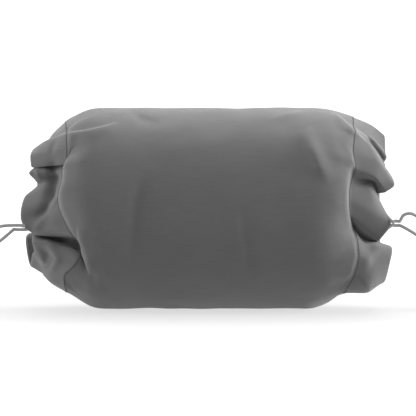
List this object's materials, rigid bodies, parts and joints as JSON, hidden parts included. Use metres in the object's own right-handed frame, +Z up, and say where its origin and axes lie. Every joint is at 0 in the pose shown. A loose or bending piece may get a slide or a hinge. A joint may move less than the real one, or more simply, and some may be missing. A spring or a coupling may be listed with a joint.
{
  "type": "laundry bag",
  "caption": "Soft cloth tube bag lying on its side, filled out round; a drawcord in the folded hem at each open end gathers that mouth and a spring cord lock holds it.",
  "frame": {"origin": "middle of the bag's flat underside, on the surface that it rests on; the free cords and what is on them are left out of the box that centres it", "axes": "+X along the bag from its left mouth to its right mouth, -Y to the front where both cords leave, +Z up"},
  "size_m": [0.483, 0.214, 0.2015],
  "materials": {
    "shell_fabric": "matt, tightly woven",
    "binding_tape": "matt, plain woven",
    "cord": "round braided elastic cord",
    "thread": "spun sewing thread",
    "lock_plastic": "moulded, satin",
    "spring_steel": "drawn wire"
  },
  "bodies": {
    "bag": {"body_panel": "shell_fabric", "seam_tape": "binding_tape", "left_hem": "shell_fabric", "left_hem_stitching": "thread", "left_channel_cord": "cord", "left_upper_strand": "cord", "left_lower_strand": "cord", "left_cord_knot": "cord", "right_hem": "shell_fabric", "right_hem_stitching": "thread", "right_channel_cord": "cord", "right_upper_strand": "cord", "right_lower_strand": "cord", "right_cord_knot": "cord"},
    "left_lock": {"left_lock_barrel": "lock_plastic", "left_lock_spring": "spring_steel"},
    "left_plunger": {"left_lock_plunger": "lock_plastic"},
    "right_lock": {"right_lock_barrel": "lock_plastic", "right_lock_spring": "spring_steel"},
    "right_plunger": {"right_lock_plunger": "lock_plastic"}
  },
  "joints": [
    {"name": "left_lock_slide", "type": "slide", "parent": "bag", "child": "left_lock", "axis": [0, 1, 0], "range_m": [-0.009, 0.009]},
    {"name": "left_plunger_press", "type": "slide", "parent": "left_lock", "child": "left_plunger", "axis": [1, 0, 0], "range_m": [0, 0.003], "stiffness_N_per_m": 600, "springref_m": -0.003, "deforming": ["left_lock_spring"]},
    {"name": "right_lock_slide", "type": "slide", "parent": "bag", "child": "right_lock", "axis": [0, 1, 0], "range_m": [-0.009, 0.009]},
    {"name": "right_plunger_press", "type": "slide", "parent": "right_lock", "child": "right_plunger", "axis": [-1, 0, 0], "range_m": [0, 0.003], "stiffness_N_per_m": 600, "springref_m": -0.003, "deforming": ["right_lock_spring"]}
  ]
}
